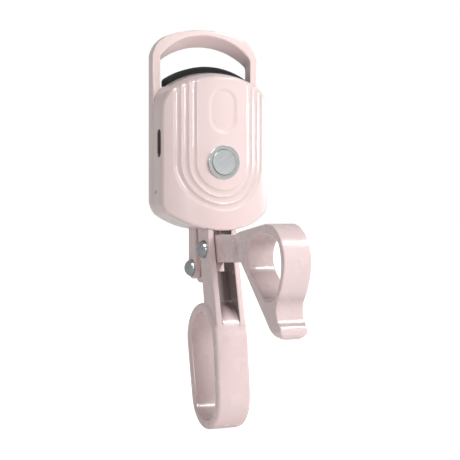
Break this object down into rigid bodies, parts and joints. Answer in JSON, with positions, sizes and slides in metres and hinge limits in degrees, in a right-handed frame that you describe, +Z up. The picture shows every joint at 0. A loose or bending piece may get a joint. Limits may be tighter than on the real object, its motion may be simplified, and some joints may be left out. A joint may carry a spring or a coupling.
{
  "type": "eyelash curler",
  "caption": "Heated eyelash curler with an arch frame, a rising silicone pad, a stepped front cover with a power button, a finger ring and a hinged thumb ring lever.",
  "frame": {"origin": "centre of the finger ring, in the plane that halves the object from side to side", "axes": "+Z up to the arch, -Y to the front where the button is, +X to the side away from the charging socket and along the pivots"},
  "size_m": [0.0368, 0.0665, 0.1264],
  "materials": {
    "pink_shell": "high gloss pale pink",
    "pink_handle": "gloss pale pink",
    "screw_steel": "satin",
    "chassis_plastic": "fine grain",
    "board_green": "solder mask",
    "cell_foil": "foil pouch",
    "socket_steel": "satin",
    "lamp_plastic": "translucent",
    "switch_black": "matte",
    "bezel_metal": "satin chrome",
    "rivet_steel": "polished dome",
    "washer_plastic": "low friction",
    "pad_silicone": "fine texture",
    "heater_metal": "satin",
    "sensor_black": "epoxy bead",
    "carrier_plastic": "heat proof",
    "bush_brass": "turned",
    "button_metal": "fine brushed",
    "spring_steel": "wire"
  },
  "bodies": {
    "head": {"arch_frame": "pink_shell", "front_cover": "pink_shell", "housing_screws": "screw_steel", "inner_chassis": "chassis_plastic", "circuit_board": "board_green", "battery_cell": "cell_foil", "usb_c_socket": "socket_steel", "charge_lamp": "lamp_plastic", "tact_switch": "switch_black", "button_bezel": "bezel_metal", "fork_handle": "pink_handle", "fork_screws": "screw_steel", "main_pivot_rivet": "rivet_steel", "pivot_washers": "washer_plastic", "button_spring": "spring_steel"},
    "slider": {"silicone_pad": "pad_silicone", "heater_plate": "heater_metal", "temperature_sensor": "sensor_black", "pad_carrier": "carrier_plastic", "push_rod": "pink_handle", "rod_screws": "screw_steel", "link_rivet": "rivet_steel"},
    "lever": {"thumb_lever": "pink_handle", "lever_bush": "bush_brass"},
    "button": {"power_button": "button_metal"}
  },
  "joints": [
    {"name": "lever_squeeze", "type": "hinge", "parent": "head", "child": "lever", "pos_m": [0, 0, 0.0367], "axis": [1, 0, 0], "range_deg": [0, 35]},
    {"name": "pad_rise", "type": "slide", "parent": "head", "child": "slider", "axis": [0, 0, 1], "range_m": [0, 0.0066]},
    {"name": "button_press", "type": "slide", "parent": "head", "child": "button", "axis": [0, 1, 0], "range_m": [0, 0.0005], "stiffness_N_per_m": 800, "springref_m": -0.0005, "deforming": ["button_spring"]}
  ],
  "couplings": [
    {"joint": "pad_rise", "follows": "lever_squeeze", "m_per_rad": 0.0106}
  ]
}
